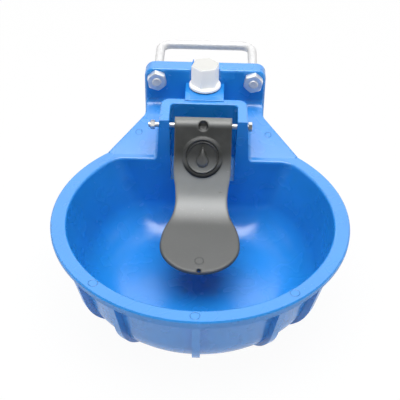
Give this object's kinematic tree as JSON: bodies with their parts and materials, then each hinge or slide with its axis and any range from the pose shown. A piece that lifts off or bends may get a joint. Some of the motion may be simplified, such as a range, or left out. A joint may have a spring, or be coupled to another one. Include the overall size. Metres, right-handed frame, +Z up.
{
  "type": "livestock drinking bowl",
  "caption": "Round plastic drinking bowl for cattle and horses with a nose paddle that opens a sprung stem valve, an inlet pipe with a screw cap, and a square-bent clamp for a post.",
  "frame": {"origin": "on the back plate's rear face, midway between the two clamp bolts", "axes": "+X across the bowl, +Y backwards to the post, +Z up"},
  "size_m": [0.265, 0.3622, 0.1552],
  "materials": {
    "blue_plastic": "moulded, glossy",
    "paddle_plastic": "fine moulded grain",
    "cap_plastic": "moulded, satin",
    "galvanised_steel": "bright zinc",
    "stainless_steel": "turned",
    "spring_steel": "drawn wire",
    "brass": "turned",
    "seal_rubber": "smooth",
    "bearing_plastic": "turned"
  },
  "bodies": {
    "root": {"bowl_body": "blue_plastic", "u_bolt": "galvanised_steel", "u_bolt_nuts": "galvanised_steel", "inlet_cap": "cap_plastic", "cap_gasket": "seal_rubber", "valve_body": "brass", "valve_nozzle": "brass", "nozzle_gasket": "seal_rubber", "port_gasket": "seal_rubber", "seat_ring": "bearing_plastic", "stem_guide": "bearing_plastic", "valve_spring": "spring_steel"},
    "pivot": {"pivot_bolt": "stainless_steel", "pivot_nut": "stainless_steel"},
    "paddle": {"paddle": "paddle_plastic"},
    "stem": {"valve_stem": "stainless_steel", "seal_disc": "seal_rubber", "disc_washer": "stainless_steel", "stem_clip": "spring_steel"}
  },
  "joints": [
    {"name": "paddle_press", "type": "hinge", "parent": "root", "child": "pivot", "pos_m": [0, -0.077, -0.014], "axis": [1, 0, 0], "range_deg": [0, 8], "stiffness_Nm_per_rad": 1.8, "springref_deg": -5.73},
    {"name": "paddle_lift", "type": "hinge", "parent": "pivot", "child": "paddle", "pos_m": [0, -0.077, -0.014], "axis": [-1, 0, 0], "range_deg": [0, 90]},
    {"name": "stem_slide", "type": "slide", "parent": "root", "child": "stem", "axis": [0, 1, 0], "range_m": [0, 0.0038], "deforming": ["valve_spring"]}
  ],
  "couplings": [
    {"joint": "stem_slide", "follows": "paddle_press", "m_per_rad": 0.027}
  ]
}
